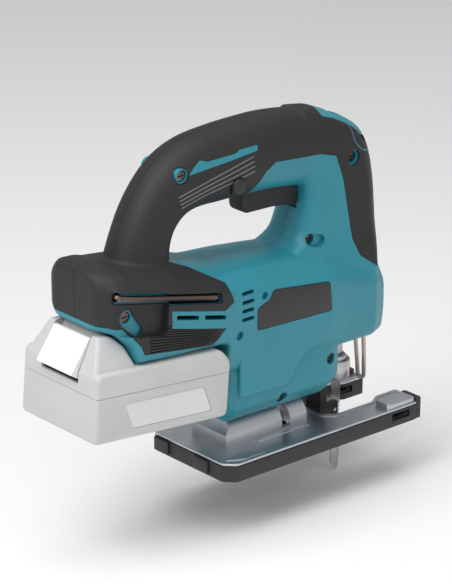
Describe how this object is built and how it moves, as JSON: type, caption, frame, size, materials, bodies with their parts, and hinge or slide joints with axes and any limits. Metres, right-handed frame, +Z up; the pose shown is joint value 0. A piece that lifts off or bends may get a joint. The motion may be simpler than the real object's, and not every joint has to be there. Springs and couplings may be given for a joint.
{
  "type": "cordless jigsaw",
  "caption": "Cordless jigsaw with a closed handle loop, slide-on battery, bevelling base plate, wire blade guard and a removable blade on a reciprocating plunger.",
  "frame": {"origin": "on the underside of the sole, on the centreline, 29.75 mm behind the middle of the blade", "axes": "+X is the cutting direction, +Y the tool's left, +Z up"},
  "size_m": [0.2784, 0.082, 0.2685],
  "materials": {
    "teal_shell": "moulded nylon with a fine satin grain",
    "soft_rubber": "soft matt overmould with a fine texture",
    "cast_aluminium": "die-cast and tumbled",
    "bright_steel": "ground steel",
    "dark_steel": "blackened steel",
    "black_plastic": "moulded with a fine grain",
    "green_board": "coated board and wrapped cells",
    "grey_plastic": "light grey moulding",
    "white_plastic": "white moulding",
    "copper": "turned copper",
    "bronze": "sintered bronze",
    "clear_lens": "clear lens"
  },
  "bodies": {
    "base": {"base_plate": "cast_aluminium", "base_cover": "black_plastic"},
    "armature": {"armature_shaft": "bright_steel", "armature_core": "bright_steel", "commutator": "copper", "cooling_fan": "black_plastic"},
    "crank": {"crank_gear": "bright_steel", "crank_pin": "bright_steel"},
    "plunger_rod": {"plunger": "bright_steel", "crosshead": "bright_steel", "blade_clamp": "bright_steel"},
    "sleeve": {"clamp_sleeve": "bright_steel"},
    "blade": {"saw_blade": "bright_steel"},
    "orbital_arm": {"roller_holder": "black_plastic", "roller_pin": "bright_steel"},
    "roller": {"guide_roller": "bright_steel"},
    "selector": {"orbital_selector": "black_plastic"},
    "lever": {"release_lever": "black_plastic"},
    "trigger_body": {"trigger": "soft_rubber"},
    "lock_button": {"lock_off_button": "black_plastic"},
    "battery": {"battery_case_lower": "grey_plastic", "battery_case_upper": "grey_plastic", "cell_block": "green_board"},
    "battery_key": {"battery_button": "white_plastic"},
    "wrench": {"hex_wrench": "dark_steel"},
    "housing": {"base_bolt": "dark_steel", "brush_1": "black_plastic", "brush_2": "black_plastic", "clamp_nut": "bright_steel", "controller_board": "green_board", "dust_seal": "soft_rubber", "end_bell": "black_plastic", "field_magnet_1": "dark_steel", "field_magnet_2": "dark_steel", "front_bearing": "bright_steel", "gear_housing": "cast_aluminium", "gear_shaft": "bright_steel", "housing_left": "teal_shell", "housing_right": "teal_shell", "label_plate": "black_plastic", "lever_pin": "bright_steel", "lower_bush": "bronze", "motor_can": "bright_steel", "overmould_left": "soft_rubber", "overmould_right": "soft_rubber", "rear_bearing": "bright_steel", "screw_foot": "dark_steel", "screw_front": "dark_steel", "screw_handle": "dark_steel", "screw_nose": "dark_steel", "screw_pillar": "dark_steel", "screw_rear": "dark_steel", "switch_body": "black_plastic", "terminal_block": "black_plastic", "top_plate": "teal_shell", "upper_bush": "bronze", "wire_guard": "bright_steel", "work_lamp": "clear_lens"}
  },
  "joints": [
    {"name": "base_bevel", "type": "hinge", "parent": "base", "child": "housing", "pos_m": [0, 0, 0.014], "axis": [1, 0, 0], "range_deg": [-45, 45]},
    {"name": "armature_spin", "type": "hinge", "parent": "housing", "child": "armature", "pos_m": [0, 0, 0.108], "axis": [1, 0, 0], "continuous": true},
    {"name": "crank_gear_spin", "type": "hinge", "parent": "housing", "child": "crank", "pos_m": [0, 0, 0.084], "axis": [1, 0, 0], "continuous": true},
    {"name": "plunger_stroke", "type": "slide", "parent": "housing", "child": "plunger_rod", "axis": [0, 0, 1], "range_m": [-0.0115, 0.0115]},
    {"name": "clamp_sleeve_turn", "type": "hinge", "parent": "plunger_rod", "child": "sleeve", "pos_m": [0.02975, 0, 0.036], "axis": [0, 0, 1], "range_deg": [0, 60], "stiffness_Nm_per_rad": 0.02},
    {"name": "blade_pull", "type": "slide", "parent": "plunger_rod", "child": "blade", "axis": [0, 0, -1], "range_m": [0, 0.02]},
    {"name": "orbital_swing", "type": "hinge", "parent": "housing", "child": "orbital_arm", "pos_m": [0.0125, 0, 0.036], "axis": [0, 1, 0], "range_deg": [0, 4], "stiffness_Nm_per_rad": 0.5},
    {"name": "roller_spin", "type": "hinge", "parent": "orbital_arm", "child": "roller", "pos_m": [0.0224, 0, 0.009], "axis": [0, 1, 0], "continuous": true},
    {"name": "orbital_selector_turn", "type": "hinge", "parent": "housing", "child": "selector", "pos_m": [-0.012, 0.034, 0.074], "axis": [0, 1, 0], "range_deg": [0, 90]},
    {"name": "release_lever_swing", "type": "hinge", "parent": "housing", "child": "lever", "pos_m": [0.036, 0.015, 0.055], "axis": [0, 0, 1], "range_deg": [0, 70], "stiffness_Nm_per_rad": 0.03},
    {"name": "trigger_pull", "type": "slide", "parent": "housing", "child": "trigger_body", "axis": [0, 0, 1], "range_m": [0, 0.0055], "stiffness_N_per_m": 1500},
    {"name": "lock_off_press", "type": "slide", "parent": "housing", "child": "lock_button", "axis": [0, 1, 0], "range_m": [-0.003, 0.003], "stiffness_N_per_m": 400},
    {"name": "battery_slide", "type": "slide", "parent": "housing", "child": "battery", "axis": [-0.9964, 0, 0.0845], "range_m": [0, 0.11]},
    {"name": "battery_button_press", "type": "slide", "parent": "battery", "child": "battery_key", "axis": [0.8924, 0, -0.4512], "range_m": [0, 0.003], "stiffness_N_per_m": 400},
    {"name": "wrench_pull", "type": "slide", "parent": "housing", "child": "wrench", "axis": [0, -1, 0], "range_m": [0, 0.03]}
  ],
  "couplings": [
    {"joint": "crank_gear_spin", "follows": "armature_spin", "ratio": -0.2}
  ]
}
